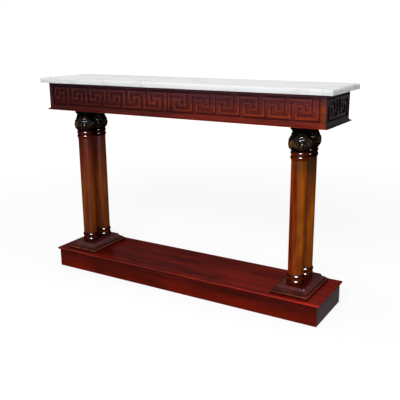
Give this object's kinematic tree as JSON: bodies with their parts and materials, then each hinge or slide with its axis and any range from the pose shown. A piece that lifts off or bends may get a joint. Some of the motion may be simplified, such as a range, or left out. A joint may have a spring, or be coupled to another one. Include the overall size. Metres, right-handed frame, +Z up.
{
  "type": "pier table",
  "caption": "Long narrow pier table: loose marble slab on a key-pattern frieze, paired turned columns with carved capitals on moulded plinths, and a low platform base.",
  "frame": {"origin": "on the floor, at the middle of the table's plan", "axes": "+X along the length to the right seen from the front, -Y towards the front, +Z up"},
  "size_m": [1.234, 0.279, 0.813],
  "materials": {
    "marble": "polished white marble with faint grey veins",
    "frieze_mahogany": "dark red-brown mahogany, glossy polish",
    "fret_mahogany": "red-brown mahogany, glossy polish, worn lighter than its ground",
    "column_mahogany": "orange-brown figured mahogany, turned and polished",
    "capital_dark_wood": "near-black stained and carved, semi-gloss",
    "plinth_mahogany": "dark red mahogany, glossy polish",
    "base_mahogany": "red mahogany, glossy polish",
    "inner_softwood": "plain planed secondary wood, unpolished",
    "screw_steel": "slotted steel wood screws, dull"
  },
  "bodies": {
    "table_frame": {"base_back": "base_mahogany", "base_bearer_left": "inner_softwood", "base_bearer_middle": "inner_softwood", "base_bearer_right": "inner_softwood", "base_corner_blocks": "inner_softwood", "base_front": "base_mahogany", "base_left": "base_mahogany", "base_right": "base_mahogany", "base_top": "base_mahogany", "bearer_screws": "screw_steel", "capital_back_left": "capital_dark_wood", "capital_back_right": "capital_dark_wood", "capital_front_left": "capital_dark_wood", "capital_front_right": "capital_dark_wood", "column_back_left": "column_mahogany", "column_back_right": "column_mahogany", "column_front_left": "column_mahogany", "column_front_right": "column_mahogany", "column_rail_left": "inner_softwood", "column_rail_right": "inner_softwood", "fret_front_left": "fret_mahogany", "fret_front_right": "fret_mahogany", "fret_left": "fret_mahogany", "fret_right": "fret_mahogany", "frieze_back": "frieze_mahogany", "frieze_bottom": "frieze_mahogany", "frieze_corner_blocks": "inner_softwood", "frieze_front": "frieze_mahogany", "frieze_left": "frieze_mahogany", "frieze_right": "frieze_mahogany", "moulding_back": "frieze_mahogany", "moulding_front": "frieze_mahogany", "moulding_left": "frieze_mahogany", "moulding_right": "frieze_mahogany", "plinth_base_left": "plinth_mahogany", "plinth_base_right": "plinth_mahogany", "plinth_cap_left": "plinth_mahogany", "plinth_cap_right": "plinth_mahogany", "plinth_screws": "screw_steel", "rail_screws": "screw_steel", "top_bearer_left": "inner_softwood", "top_bearer_middle": "inner_softwood", "top_bearer_right": "inner_softwood"},
    "marble_slab": {"marble_top": "marble"}
  },
  "joints": [
    {"name": "marble_top_lift", "type": "slide", "parent": "table_frame", "child": "marble_slab", "axis": [0, 0, 1], "range_m": [0, 0.12]}
  ]
}
